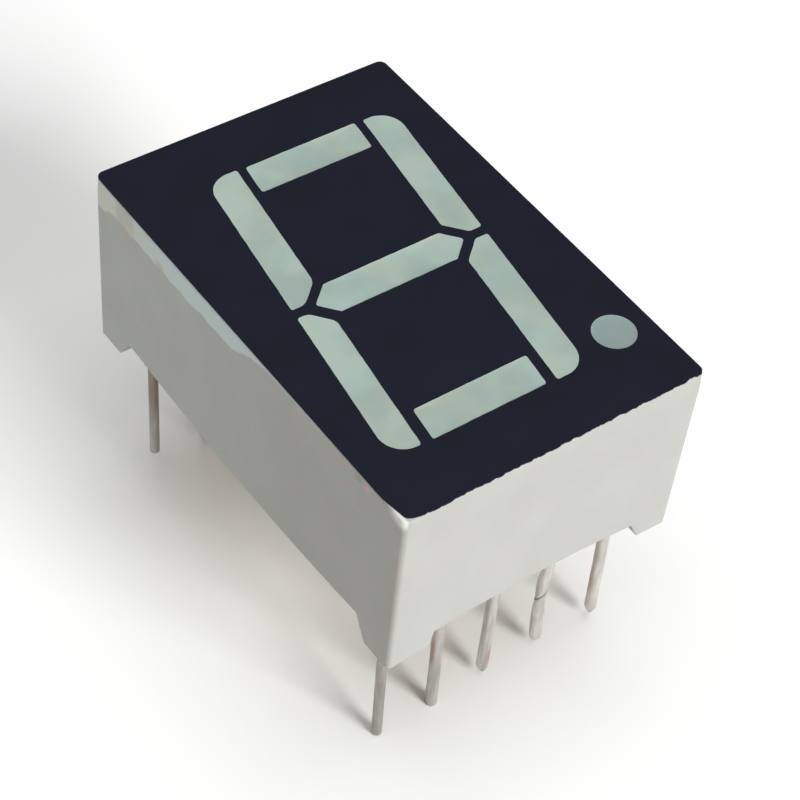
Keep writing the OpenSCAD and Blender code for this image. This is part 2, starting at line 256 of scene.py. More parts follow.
def chosen(group):
    """The sizes or colours of one group."""
    return getattr(bpy.context.scene, f"display_{group}")


# Plane outlines


def unit(angle):
    return Vector((math.cos(angle), math.sin(angle)))


def turns(steps):
    """Angles evenly all round."""
    return [math.tau * i / steps for i in range(steps)]


def shares(steps):
    """Even shares from 0 to 1."""
    return [i / steps for i in range(steps + 1)]


def circle(diameter, steps):
    return [unit(angle) * diameter / 2 for angle in turns(steps)]


def corner_arc(before, at, after, radius, steps):
    """Points that round the corner of a path with an arc."""
    back = (before - at).normalized()
    on = (after - at).normalized()
    half = back.angle(on) / 2
    centre = at + (back + on).normalized() * radius / math.sin(half)
    first = at + back * radius / math.tan(half) - centre
    last = at + on * radius / math.tan(half) - centre
    turn = math.copysign(math.pi - 2 * half, first.cross(last))
    points = []
    for share in shares(steps):
        c, s = unit(turn * share)
        points.append(centre + Vector((first.x * c - first.y * s, first.x * s + first.y * c)))
    return points


def rounded(corners, radii, steps):
    """A closed outline with each corner rounded."""
    corners = [Vector(c) for c in corners]
    points = []
    for i, at in enumerate(corners):
        after = corners[(i + 1) % len(corners)]
        points += corner_arc(corners[i - 1], at, after, radii[i], steps[i])
    return points


def densified(points, gap):
    """The closed outline with no two points further apart than gap."""
    dense = []
    for i, start in enumerate(points):
        end = points[(i + 1) % len(points)]
        parts = max(1, math.ceil((end - start).length / gap))
        dense += [start.lerp(end, k / parts) for k in range(parts)]
    return dense


def rounded_box(half, radius, steps, gap):
    """The outline of a rounded rectangle, as pairs of a point and its outward direction."""
    corners = [(sx * half.x, sy * half.y) for sx, sy in CORNERS]
    outline = densified(rounded(corners, [radius] * 4, [steps] * 4), gap)
    pairs = []
    for i, point in enumerate(outline):
        along = outline[(i + 1) % len(outline)] - outline[i - 1]
        pairs.append((point, Vector((along.y, -along.x)).normalized()))
    return pairs


def upright_bar(digit, width, length, outer_r, cut_r):
    """An upright bar about its own centre, with the outer corner at its top right and the cut below."""
    x, y, cut = width / 2, length / 2, digit.waist_cut
    return rounded(
        [(-x, y), (-x, cut - y), (cut - x, -y), (x, -y), (x, y)],
        [digit.small_r, cut_r, cut_r, digit.small_r, outer_r],
        [5, 8, 8, 5, 16],
    )


def level_bar(digit, length):
    x, y = length / 2, digit.level_h / 2
    return rounded([(-x, y), (-x, -y), (x, -y), (x, y)], [digit.small_r] * 4, [5] * 4)


def middle_bar(digit):
    x, y = digit.middle_l / 2, digit.level_h / 2
    return rounded(
        [(-x, 0), (y - x, -y), (x - y, -y), (x, 0), (x - y, y), (y - x, y)],
        [digit.small_r] * 6,
        [5] * 6,
    )


EDGE_GAP = 0.12 * MM  # longest step along the edge of a window
WEAR_STEP = 0.3 * MM  # distance over which a window's edge wanders
WEAR_SEEDS = (4.4, 9.1)
POINT_SIDES = 48


def window_rings():
    """For each light, the outlines of its window on the face and of its well at the board."""
    digit = chosen("digit")
    wear = chosen("print").window_wear
    width, height = digit.upright_w, (digit.height - digit.waist_gap) / 2
    short = height - digit.round_inset
    side, rise = digit.upright_x, (digit.height + digit.waist_gap) / 4
    far_side = side + (width - digit.lower_left_w) / 2
    round_rise = rise - digit.round_inset / 2
    top = digit.height / 2 - digit.level_inset - digit.level_h / 2
    shift = digit.bottom_shift
    upper_right = upright_bar(digit, width, short, digit.round_r, digit.cut_r)
    lower_right = upright_bar(digit, width, height, digit.outer_r, digit.cut_r)
    lower_left = upright_bar(digit, digit.lower_left_w, short, digit.round_r, digit.soft_cut_r)
    upper_left = upright_bar(digit, width, height, digit.outer_r, digit.soft_cut_r)

    # Each bar's outline, its centre, which way round it lies, and whether it stands upright
    bars = {
        "a": (level_bar(digit, digit.level_l), (0, top), (1, 1), False),
        "b": (upper_right, (side, round_rise), (1, 1), True),
        "c": (lower_right, (side, -rise), (1, -1), True),
        "d": (level_bar(digit, digit.bottom_l), (-shift, -top), (1, 1), False),
        "e": (lower_left, (-far_side, -round_rise), (-1, -1), True),
        "f": (upper_left, (-side, rise), (-1, 1), True),
        "g": (middle_bar(digit), (-shift / 2, 0), (1, 1), False),
    }
    slope = math.tan(digit.lean)

    def on_face(outline, centre, flip, scale):
        ring = []
        for p in outline:
            x = centre[0] + p.x * flip[0] * scale[0]
            y = centre[1] + p.y * flip[1] * scale[1]
            ring.append(Vector((digit.across + x + y * slope, digit.along + y)))
        return ring

    def worn(ring):
        """The same ring with the slightly uneven edge that the screen leaves."""
        moved = []
        for p in ring:
            off = Vector((wander(p.x, p.y, WEAR_STEP, seed) for seed in WEAR_SEEDS))
            moved.append(p + off * wear)
        return moved

    rings = {}
    for name, (outline, centre, flip, stands) in bars.items():
        size_x, size_y = (max(p[i] for p in outline) * 2 for i in (0, 1))
        well = (digit.well_w, digit.well_l) if stands else (digit.well_l, digit.well_w)
        outline = densified(outline, EDGE_GAP)
        if flip[0] * flip[1] < 0:
            outline = outline[::-1]
        rings[name] = (
            worn(on_face(outline, centre, flip, (1, 1))),
            on_face(outline, centre, flip, (well[0] / size_x, well[1] / size_y)),
        )
    centre = Vector((digit.point_x, digit.point_y))
    rings["point"] = (
        [centre + p for p in circle(digit.point_d, POINT_SIDES)],
        [centre + p for p in circle(digit.point_well_d, POINT_SIDES)],
    )
    return rings


def hollow_rings():
    """For each hollow inside the digit's loops, its four corners at the board and at its roof."""
    digit, casing = chosen("digit"), chosen("casing")
    rise = (digit.height + digit.waist_gap) / 4
    level = digit.height / 2 - digit.level_inset - digit.level_h / 2
    slope = math.tan(digit.lean)
    rings = []
    for side in (-1, 1):
        middle = Vector((digit.across + side * rise * slope, digit.along + side * level / 2))
        pair = []
        for draft in (0, casing.hollow_draft):
            half = Vector((casing.hollow_across / 2 - draft, casing.hollow_along / 2 - draft))
            pair.append([middle + half * Vector(corner) for corner in CORNERS])
        rings.append(pair)
    return rings


# The feet that differ from the others, by their corner and the axis that they run along: their length at
# the end and at the rim, and how far the end slopes up, in millimetres
ODD_FEET = {
    ((-1, -1), "x"): (1.84, 1.96, 0.18),
    ((1, -1), "x"): (1.45, 1.87, 0.04),
}


def smooth_step(value, low, high):
    t = min(max((value - low) / (high - low), 0), 1)
    return t * t * (3 - 2 * t)


def wander(x, y, scale, seed):
    """A smooth value from about -1 to 1 that depends only on the place and the seed."""
    return noise.noise(Vector((x / scale, y / scale, seed)))


# Mesh building


class Shape:
    """A mesh being made from rings of vertices."""

    def __init__(self):
        self.mesh = bmesh.new()

    def ring(self, points, z=None):
        if z is None:
            return [self.mesh.verts.new(p) for p in points]
        return [self.mesh.verts.new((p[0], p[1], z)) for p in points]

    def strip(self, low, high):
        count = len(low)
        for i in range(count):
            j = (i + 1) % count
            self.mesh.faces.new((low[i], low[j], high[j], high[i]))

    def sleeve(self, rings):
        for low, high in zip(rings, rings[1:]):
            self.strip(low, high)

    def well(self, low_points, low, high_points, high):
        """A tapering sleeve between two outlines at their heights. Gives its two rings."""
        pair = self.ring(low_points, low), self.ring(high_points, high)
        self.strip(*pair)
        return pair

    def wells_and_hollows(self, board, face, roof):
        """The eight light wells and the two closed hollows. Gives the rings of each."""
        wells = [self.well(low, board, high, face) for high, low in window_rings().values()]
        hollows = [self.well(low, board, high, roof) for low, high in hollow_rings()]
        for low, high in hollows:
            self.plane(high)
        return wells, hollows

    def fan(self, ring, centre):
        middle = self.mesh.verts.new(centre)
        for i, vertex in enumerate(ring):
            self.mesh.faces.new((vertex, ring[(i + 1) % len(ring)], middle))

    def plane(self, *rings):
        """A flat face inside the first ring, with the other rings as its holes."""
        edges = []
        for ring in rings:
            for i, vertex in enumerate(ring):
                pair = (vertex, ring[(i + 1) % len(ring)])
                edges.append(self.mesh.edges.get(pair) or self.mesh.edges.new(pair))
        bmesh.ops.triangle_fill(self.mesh, use_beauty=True, use_dissolve=False, edges=edges)

    def piece(self, name, material, slot, replaces, sharp=30):
        """Turns the mesh into a finished piece that stands for the named nodes."""
        bmesh.ops.recalc_face_normals(self.mesh, faces=self.mesh.faces)
        data = bpy.data.meshes.new(name)
        self.mesh.to_mesh(data)
        self.mesh.free()
        data.materials.append(material)
        data.shade_smooth()
        data.set_sharp_from_angle(angle=math.radians(sharp))
        made = bpy.data.objects.new(name, data)
        bpy.context.scene.collection.objects.link(made)
        weighted = made.modifiers.new("Weighted normals", "WEIGHTED_NORMAL")
        weighted.keep_sharp = True
        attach(made, "root")
        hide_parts(*replaces)


class Column:
    """An upright line on the wall, at a place along one side or at an angle round a corner."""

    def __init__(self, side, along=0.0, angle=None):
        self.side = Vector(side)
        self.along = along
        self.angle = angle

    def at(self, half, radius, squeeze=None):
        """Where the line crosses a rounded rectangle with the given half sizes."""
        if self.angle is None:
            along = squeeze(self.along, self.side) if squeeze else self.along
            if self.side.x:
                return Vector((self.side.x * half.x, along))
            return Vector((along, self.side.y * half.y))
        centre = Vector((self.side.x * (half.x - radius), self.side.y * (half.y - radius)))
        return centre + unit(self.angle) * radius


def columns(along_x, along_y, steps):
    """Columns all round, anticlockwise from the left end of the front side."""
    lines = []
    sides = (
        ((0, -1), along_x, (1, -1)),
        ((1, 0), along_y, (1, 1)),
        ((0, 1), along_x[::-1], (-1, 1)),
        ((-1, 0), along_y[::-1], (-1, -1)),
    )
    for number, (side, places, corner) in enumerate(sides):
        lines += [Column(side, along=place) for place in places]
        start = math.pi / 2 * (number - 1)
        lines += [Column(corner, angle=start + math.pi / 2 * share) for share in shares(steps)]
    return lines


# Materials


class Nodes:
    """A node tree being made."""

    def __init__(self, tree):
        self.tree = tree
        self.tree.nodes.clear()

    def node(self, kind, settings=None, inputs=None):
        """Adds a node: its settings first, then the values or links of its sockets."""
        made = self.tree.nodes.new(kind)
        for name, value in (settings or {}).items():
            setattr(made, name, value)
        for key, value in (inputs or {}).items():
            self.feed(made.inputs[key], value)
        return made

    def feed(self, socket, value):
        if isinstance(value, Value):
            value = value.socket
        if isinstance(value, bpy.types.NodeSocket):
            self.tree.links.new(value, socket)
        else:
            socket.default_value = value


class Value:
    """A number that changes over a surface, for use in expressions."""

    def __init__(self, finish, socket):
        self.finish = finish
        self.socket = socket

    def maths(self, operation, *inputs):
        node = self.finish.node("ShaderNodeMath", {"operation": operation}, dict(enumerate(inputs)))
        return Value(self.finish, node.outputs[0])

    def __add__(self, other):
        return self.maths("ADD", self, other)

    def __radd__(self, other):
        return self.maths("ADD", other, self)

    def __sub__(self, other):
        return self.maths("SUBTRACT", self, other)

    def __rsub__(self, other):
        return self.maths("SUBTRACT", other, self)

    def __mul__(self, other):
        return self.maths("MULTIPLY", self, other)

    def __rmul__(self, other):
        return self.maths("MULTIPLY", other, self)

    def __abs__(self):
        return self.maths("ABSOLUTE", self)

    def step(self, low, high):
        """0 at low and 1 at high, smooth between them. Low may be the larger."""
        inputs = {0: self, 1: low, 2: high, 3: 0.0, 4: 1.0}
        settings = {"interpolation_type": "SMOOTHSTEP"}
        node = self.finish.node("ShaderNodeMapRange", settings, inputs)
        return Value(self.finish, node.outputs[0])

    def sine(self):
        return self.maths("SINE", self)


class Finish(Nodes):
    """A material and the nodes that it is made from. Its places are in millimetres."""

    def __init__(self, name, colour, roughness, metallic=0.0, gloss=0.5):
        self.material = bpy.data.materials.new(name)
        self.material.use_nodes = True
        super().__init__(self.material.node_tree)
        inputs = {
            "Base Color": (*colour, 1),
            "Roughness": roughness,
            "Metallic": metallic,
            "Specular IOR Level": gloss,
        }
        self.shader = self.node("ShaderNodeBsdfPrincipled", {}, inputs)
        self.node("ShaderNodeOutputMaterial", {}, {"Surface": self.shader.outputs[0]})
        place = self.node("ShaderNodeTexCoord").outputs["Object"]
        inputs = {0: place, "Scale": 1 / MM}
        self.place = self.node("ShaderNodeVectorMath", {"operation": "SCALE"}, inputs).outputs[0]
        split = self.node("ShaderNodeSeparateXYZ", {}, {0: self.place})
        self.x, self.y, self.z = (Value(self, socket) for socket in split.outputs)

    def set(self, name, value):
        self.feed(self.shader.inputs[name], value)

    def moved(self, stretch, shift):
        """The place with each axis scaled and then shifted."""
        inputs = {0: self.place, "Location": shift, "Scale": stretch}
        return self.node("ShaderNodeMapping", {}, inputs).outputs[0]

    def grain(self, per_mm, detail=2.0, stretch=(1, 1, 1), shift=(0, 0, 0)):
        """Noise from 0 to 1 with so many features in a millimetre."""
        inputs = {"Vector": self.moved(stretch, shift), "Scale": per_mm, "Detail": detail}
        return Value(self, self.node("ShaderNodeTexNoise", {}, inputs).outputs[0])

    def distance(self, point, stretch=(1, 1, 1)):
        """Distance from a point, with each axis scaled."""
        back = tuple(-p * s for p, s in zip(point, stretch))
        inputs = {0: self.moved(stretch, back)}
        node = self.node("ShaderNodeVectorMath", {"operation": "LENGTH"}, inputs)
        return Value(self, node.outputs["Value"])

    def blend(self, factor, first, second, mode="MIX"):
        """Mixes two colours; factor is a number or a Value."""
        first, second = (c if hasattr(c, "node") else (*c, 1) for c in (first, second))
        settings = {"data_type": "RGBA", "blend_type": mode}
        return self.node("ShaderNodeMix", settings, {0: factor, 6: first, 7: second}).outputs[2]

    def tones(self, mask, base, low, high):
        """One colour made from low to high times as light."""
        return self.blend(mask, shade(base, low), shade(base, high))

    def tinted(self, look, tint, share=1.0):
        return self.blend(share, look, tint, "MULTIPLY")

    def done(self, look, roughness, height, strength, depth):
        """Feeds the shader with its colour, its roughness and a bump of some depth."""
        self.set("Base Color", look)
        self.set("Roughness", roughness)
        inputs = {"Height": height, "Strength": strength, "Distance": depth * MM}
        self.set("Normal", self.node("ShaderNodeBump", {}, inputs).outputs[0])
        return self.material


def shade(colour, factor):
    return tuple(min(c * factor, 1) for c in colour)


def paint(name):
    return tuple(getattr(chosen("colours"), name))


# Stains along the casing's left top edge, and one painted highlight, in millimetres: their place along
# it, depth under it, size and colour. The last one is the worn near corner, painted pale as a highlight
# on its shoulder.
EDGE_STAINS_AND_HIGHLIGHT = (
    (7.25, 0.85, 0.28, (0.66, 0.55, 0.44)),
    (5.15, 0.9, 0.25, (0.50, 0.48, 0.33)),
    (-7.0, 0.27, 0.26, (0.30, 0.31, 0.27)),
    (-7.4, 0.35, 0.2, (0.64, 0.36, 0.38)),
    (-9.35, 0.0, 0.55, (0.84, 0.85, 0.81)),
)


def white_plastic():
    """Matt moulded plastic: a spark eroded grain, faint blotches, painted shade along one wall and a pale
    painted highlight with stains under one top edge.
    """
    base = paint("plastic")
    finish = Finish("white_plastic", base, 0.55, gloss=0.35)
    blotch = finish.grain(0.45, 3.0)
    warm = finish.grain(0.9, 2.0, shift=(7, 3, 1))
    look = finish.tones(blotch.step(0.3, 0.7), base, 0.965, 1.02)
    tint = finish.blend(warm.step(0.35, 0.65), (1.0, 0.985, 0.985), (0.985, 1.0, 0.995))
    look = finish.tinted(look, tint, 0.8)
    mottle = finish.grain(3.4, 2.0, shift=(3, 1, 8))
    tint = finish.blend(mottle.step(0.35, 0.65), (1.02, 0.945, 0.94), (0.945, 1.0, 0.97))
    wall, top = CASING_LOW.x / MM, CASING_HIGH.z / MM
    left = finish.x.step(wall + 0.2, wall + 0.1)
    look = finish.tinted(look, tint, 0.45 + 0.45 * left)

    # Painted shade and light: the left wall, below the band along its top edge, is painted a little
    # darker and yellower towards its near end and lighter towards its far end
    near, far = CASING_LOW.y / MM, CASING_HIGH.y / MM
    painted_shade_gradient = finish.blend(finish.y.step(near, far), (0.93, 0.92, 0.89), (1.02, 1.06, 1.06))
    look = finish.blend(left, look, finish.tinted(look, painted_shade_gradient))
    # Painted highlight: a pale band, tinted green and yellow, painted along the left wall's top edge for
    # the light on its shoulder
    depth = top - finish.z
    wave = finish.grain(1.3, 3.0, shift=(2, 9, 4)) - 0.5
    corner = finish.y.step(8.3, 9.2)
    reach = 0.16 + 0.84 * finish.y.step(-1.4, 1.0) + 0.3 * corner
    highlight_band = (depth + wave * 0.4 - reach).step(0.06, -0.06)
    along = finish.y.step(-7.5, 0.5) * (1 - 0.6 * abs(finish.y - 7.5).step(0.8, 0.35))
    pale = finish.blend(finish.y.step(4.6, 7.6), (0.56, 0.67, 0.645), (0.62, 0.64, 0.545))
    pale = finish.blend(depth.step(0.25, 0.1), pale, (0.55, 0.62, 0.62))
    look = finish.blend(highlight_band * along * left * 0.9, look, pale)
    # Stains along the band, and the pale painted highlight on the worn near corner
    for y, under, size, stain in EDGE_STAINS_AND_HIGHLIGHT:
        spot = finish.distance((wall, y, top - under), (1, 0.6, 1)) + wave * 0.2
        look = finish.blend(spot.step(size, size * 0.3) * left * 0.75, look, stain)
    fine = finish.grain(9.0, 4.0)
    return finish.done(look, 0.5 + 0.14 * fine, fine + 0.6 * finish.grain(28.0, 2.0), 0.22, 0.012)


def dark_print():
    """Screen printed ink: near black with a blue cast and the fine weave that the screen leaves."""
    base = paint("print_ink")
    finish = Finish("dark_print", base, 0.6, gloss=0.18)
    cloud = finish.grain(0.5, 3.0)
    fleck = finish.grain(14.0, 3.0)
    look = finish.tones(cloud.step(0.3, 0.7), base, 0.9, 1.12)
    look = finish.blend(fleck.step(0.66, 0.78) * 0.35, look, shade(base, 2.2))
    roughness = 0.52 + 0.16 * finish.grain(6.0, 3.0) + 0.06 * cloud
    weave = (finish.x * 62.0).sine() * (finish.y * 62.0).sine()
    return finish.done(look, roughness, fleck + 0.25 * weave, 0.16, 0.01)


def cast_resin():
    """Milky resin, with soft clouds of green and grey, a few drowned specks and a darker point."""
    base = paint("resin")
    finish = Finish("cast_resin", base, 0.38, gloss=0.4)
    cloud = finish.grain(0.42, 3.0, shift=(3, 5, 2))
    drift = finish.grain(0.8, 2.0, stretch=(1.0, 0.7, 1.0), shift=(11, 2, 6))
    look = finish.tones(cloud.step(0.32, 0.66), base, 0.93, 1.1)
    cool = finish.blend(drift.step(0.38, 0.64), (0.93, 1.0, 1.0), (1.0, 1.0, 0.94))
    look = finish.tinted(look, cool, 0.9)
    speck = finish.grain(7.0, 2.0, shift=(1, 8, 3)).step(0.72, 0.8)
    look = finish.blend(speck * 0.3, look, shade(base, 1.3))
    digit = chosen("digit")
    place = (digit.point_x / MM, digit.point_y / MM, FACE_HIGH.z / MM)
    point = finish.distance(place).step(1.2, 0.8)
    look = finish.blend(point * 0.5, look, (0.155, 0.212, 0.232))
    height = finish.grain(1.6, 3.0) + 0.15 * finish.grain(22.0, 2.0)
    return finish.done(look, 0.34 + 0.12 * finish.grain(3.0, 3.0), height, 0.25, 0.02)


def tinned_pin(name, base, x, y, stains, ring_z):
    """Hot tinned metal, streaked along its length, with the dull bands, stains and ring of one pin."""
    finish = Finish(name, base, 0.36, metallic=0.85)
    streak = finish.grain(5.0, 3.0, stretch=(1, 1, 0.12))
    dull = finish.grain(1.1, 2.0, stretch=(0.4, 0.4, 1.0), shift=(4, 1, 9))
    look = finish.tones(streak.step(0.3, 0.72), base, 0.8, 1.18)
    brown = (base[0] * 0.86, base[1] * 0.78, base[2] * 0.74)
    look = finish.blend(dull.step(0.45, 0.7) * 0.6, look, brown)
    for (aside, ahead, z), size, stretch, stain in stains:
        away = finish.distance((x + aside, y + ahead, z), (1, 1, 1 / stretch))
        mask = (away + 0.12 * streak).step(size, size * 0.45)
        look = finish.blend(mask * 0.85, look, stain)
    if ring_z is not None:
        slanted = abs(finish.z - ring_z - (finish.x - x) * 1.2 + (finish.y - y) * 0.87)
        look = finish.blend(slanted.step(0.09, 0.04) * 0.75, look, (0.12, 0.11, 0.10))
    finish.set("Metallic", 0.9 - 0.35 * dull.step(0.4, 0.7))
    height = streak + 0.4 * finish.grain(18.0, 2.0)
    return finish.done(look, 0.3 + 0.2 * streak, height, 0.2, 0.012)


def solder_finish():
    """Solder with a bright, slightly frosty skin and a warm trace of flux round its foot."""
    base = paint("solder")
    finish = Finish("solder", base, 0.28, metallic=1.0)
    frost = finish.grain(6.0, 4.0)
    look = finish.tones(frost.step(0.35, 0.7), base, 0.86, 1.15)
    board = HOLE_BACK / MM
    foot = finish.z.step(board - 0.265, board - 0.015)
    look = finish.blend(foot * frost * 0.7, look, (0.38, 0.27, 0.13))
    return finish.done(look, 0.18 + 0.3 * frost, frost, 0.2, 0.02)


def laminate_finish():
    """Glass cloth laminate: a woven pattern under a thin lacquer, with a few darker spots."""
    base = paint("laminate")
    finish = Finish("board_laminate", base, 0.45)
    warp = (finish.x * 14.0 + finish.grain(1.5, 1.0) * 2.0).sine()
    weft = (finish.y * 14.0 + finish.grain(1.5, 1.0, shift=(5, 5, 5)) * 2.0).sine()
    cloth = (warp * weft) * 0.5 + 0.5
    look = finish.tones(cloth, base, 0.84, 1.14)
    spot = finish.grain(2.5, 2.0, shift=(6, 1, 2)).step(0.6, 0.75)
    look = finish.blend(spot * 0.35, look, (base[0] * 0.62, base[1] * 0.55, base[2] * 0.42))
    height = cloth + 0.3 * finish.grain(9.0, 2.0)
    return finish.done(look, 0.36 + 0.2 * cloth, height, 0.25, 0.015)


def metal_finish(name, base, roughness):
    """Bare metal with a fine grain and faint tarnish."""
    finish = Finish(name, base, roughness, metallic=1.0)
    tarnish = finish.grain(1.8, 3.0)
    fine = finish.grain(16.0, 3.0)
    look = finish.tones(tarnish.step(0.4, 0.7), base, 1.05, 0.72)
    return finish.done(look, roughness + 0.15 * fine, fine, 0.15, 0.006)


def speckled_finish(name, base, roughness, metallic):
    """A body full of small flakes."""
    finish = Finish(name, base, roughness, metallic=metallic)
    flake = finish.grain(30.0, 2.0)
    look = finish.tones(flake.step(0.35, 0.65), base, 0.7, 1.25)
    return finish.done(look, roughness + 0.2 * flake, flake, 0.2, 0.004)


def floor_finish():
    base = paint("floor")
    finish = Finish("floor_paint", base, 0.85, gloss=0.1)
    finish.set("Base Color", finish.tones(finish.grain(0.02, 2.0), base, 0.995, 1.0))
    return finish.material


# Pieces


class DISPLAY_OT_casing(Operator):
    """The moulded casing with its feet, light wells and hollows"""

    bl_idname = "display.casing"
    bl_label = "Casing"

    ARC = 4  # steps round the rim's edges and the shoulder
    LEVELS = 6  # rings up each part of a wall
    CORNER_STEPS = 8  # steps round an upright corner
    SLOPE_STEPS = 24  # steps along the slope of a foot
    SLOPE_MARGINS = (0.16 * MM, 0.2 * MM)  # how far those steps go past the slope's ends
    STATION_GAP = 0.5 * MM  # longest step between the feet
    CORNER_GAP = 0.8 * MM  # nearest station to a corner
    SOFTNESS = 0.06  # share of a foot's slope that is rounded off at each end

    def foot(self, column, half):
        """A foot's share of the rim's height at a column, 0 on it and 1 past it, and its end's rise."""
        sizes = chosen("casing")
        distance = half - abs(column.along)
        way = math.copysign(1, column.along)
        corner = (column.side.x, way) if column.side.x else (way, column.side.y)
        odd = ODD_FEET.get((corner, "y" if column.side.x else "x"))
        end, root, rise = (v * MM for v in odd) if odd else (sizes.foot_l, sizes.foot_root_l, 0)
        t = (distance - end) / (root - end)

        def area(u):
            return 0 if u < 0 else u * u / 2 if u < 1 else u - 0.5

        share = (area(t + self.SOFTNESS) - area(t - self.SOFTNESS)) / (2 * self.SOFTNESS)
        return share, rise * min(distance / end, 1)

    def rim(self, column):
        """Height of the rim at a column."""
        sizes = chosen("casing")
        if column.angle is not None:
            return CASING_LOW.z
        if column.side.x:
            half, height, bow = CASING_HIGH.y, sizes.long_rim_z, -sizes.long_rim_sag
        else:
            half, height, bow = CASING_HIGH.x, sizes.short_rim_z, sizes.short_rim_rise
        middle = half - sizes.foot_root_l
        bowed = height + bow * max(0, 1 - (column.along / middle) ** 2)
        share, rise = self.foot(column, half)
        return CASING_LOW.z + bowed * share + rise * (1 - share)

    def stations(self, half):
        """Places along a wall, close together at the feet's slopes."""
        sizes = chosen("casing")
        before, after = self.SLOPE_MARGINS
        first, last = sizes.foot_l - before, sizes.foot_root_l + after
        places = {half - self.CORNER_GAP, half - self.CORNER_GAP - 0.3 * MM}
        places |= {half - first - (last - first) * share for share in shares(self.SLOPE_STEPS)}
        inner = half - last
        spread = math.ceil(inner / self.STATION_GAP)
        places |= {inner * i / spread for i in range(spread)}
        return sorted(places | {-p for p in places})

    def execute(self, context):
        sizes = chosen("casing")
        half = Vector((CASING_HIGH.x, CASING_HIGH.y))
        top = CASING_HIGH.z
        opening = half - Vector((sizes.long_wall, sizes.short_wall))
        reflector = BOARD_HIGH.z + sizes.reflector_gap
        lines = columns(self.stations(half.x), self.stations(half.y), self.CORNER_STEPS)
        rims = [self.rim(line) for line in lines]

        def corner_radius(z):
            share = smooth_step(z, top - sizes.corner_h, top - sizes.shoulder_r)
            return sizes.corner_r + (sizes.top_corner_r - sizes.corner_r) * share

        def squeeze(along, side):
            """Brings the stations beside a corner inside the opening's own corner."""
            outer = half.y if side.x else half.x
            inner = opening.y if side.x else opening.x
            start, end = outer - sizes.foot_l + 0.1 * MM, outer - self.CORNER_GAP
            goal = inner - sizes.opening_r
            if abs(along) <= start:
                return along
            moved = start + (abs(along) - start) * (goal - start) / (end - start)
            return math.copysign(moved, along)

        shape = Shape()
        rings = []

        def outside(heights, inset=0.0):
            """Adds a ring on the outer wall, with one height for each line."""
            points = []
            for line, z in zip(lines, heights):
                lean = sizes.draft * (1 - z / top) + inset
                reduced = half - Vector((lean, lean))
                points.append((*line.at(reduced, corner_radius(z) - inset), z))
            rings.append(shape.ring(points))

        def inside(heights, inset=0.0):
            """Adds a ring on the wall of the opening, with one height for each line."""
            grown = opening + Vector((inset, inset))
            radius = sizes.opening_r + inset
            points = [(*line.at(grown, radius, squeeze), z) for line, z in zip(lines, heights)]
            rings.append(shape.ring(points))

        # The bend of a rounded edge, as shares of its radius: how far down and how far in
        bend = [Vector((1, 1)) - unit(math.pi / 2 * share).yx for share in shares(self.ARC)]
        r = sizes.rim_r
        inside([reflector] * len(lines))
        inside([(reflector + rim + r) / 2 for rim in rims])
        for down, across in bend:
            inside([rim + r * down for rim in rims], r * across)
        for down, across in reversed(bend):
            outside([rim + r * down for rim in rims], r * across)
        knee, shoulder = top - sizes.corner_h, top - sizes.shoulder_r
        levels = shares(self.LEVELS)[1:]
        for share in levels:
            outside([rim + r + (knee - rim - r) * share for rim in rims])
        for share in levels:
            outside([knee + (shoulder - knee) * share] * len(lines))
        for down, across in bend[1:]:
            outside([top - sizes.shoulder_r * down] * len(lines), sizes.shoulder_r * across)
        shape.sleeve(rings)

        wells, hollows = shape.wells_and_hollows(reflector, top, FACE_HIGH.z - sizes.hollow_roof)
        shape.plane(rings[-1], *(high for low, high in wells))
        shape.plane(rings[0], *(low for low, high in wells + hollows))
        shape.piece("casing", white_plastic(), "white_plastic", ["housing"], sharp=40)
        return {"FINISHED"}


class DISPLAY_OT_face_print(Operator):
    """The dark print on the face, with its eight openings and its slightly ragged edge"""

    bl_idname = "display.face_print"
    bl_label = "Face print"

    EDGE_STEP = 0.06 * MM  # longest step along the edge
    LONG_WANDER, SHORT_WANDER = 0.32 * MM, 0.13 * MM  # distances over which the edge wanders
    CALM = 0.06  # share of the raggedness on the sides away from the front

    def margin(self, point, outward):
        """How far the print's edge stays inside the casing's at a point."""
        sizes = chosen("print")
        front = smooth_step(-outward.y, 0.3, 0.9)
        rough = wander(point.x, point.y, self.LONG_WANDER, 1.7)
        rough += 0.7 * wander(point.x, point.y, self.SHORT_WANDER, 5.2)
        ragged = sizes.ragged * (self.CALM + (1 - self.CALM) * front) * (0.35 + rough)
        reach = sizes.bare_reach * (1 - 0.35 * front)
        near = max(0.0, 1 - (point - Vector(FACE_LOW[:2])).length / reach)
        return max(0.0, ragged) + sizes.bare_corner * near

    def execute(self, context):
        bevel = chosen("print").bevel
        outline = rounded_box(FACE_HIGH, chosen("casing").top_corner_r, 10, self.EDGE_STEP)
        edge = [(point, out, self.margin(point, out)) for point, out in outline]
        shape = Shape()
        low, top = FACE_LOW.z, FACE_HIGH.z
        rings = [shape.ring([p - out * gap for p, out, gap in edge], low)]
        for share, inset in ((1, 0), (0.3, 0.3), (0, 1)):
            points = [p - out * (gap + bevel * inset) for p, out, gap in edge]
            rings.append(shape.ring(points, top - bevel * share))
        shape.sleeve(rings)
        openings = [shape.well(ring, low, ring, top) for ring, well in window_rings().values()]
        shape.plane(rings[0], *(bottom for bottom, upper in openings))
        shape.plane(rings[-1], *(upper for bottom, upper in openings))
        shape.piece("face_ink", dark_print(), "dark_print", ["face_print"], sharp=12)
        return {"FINISHED"}


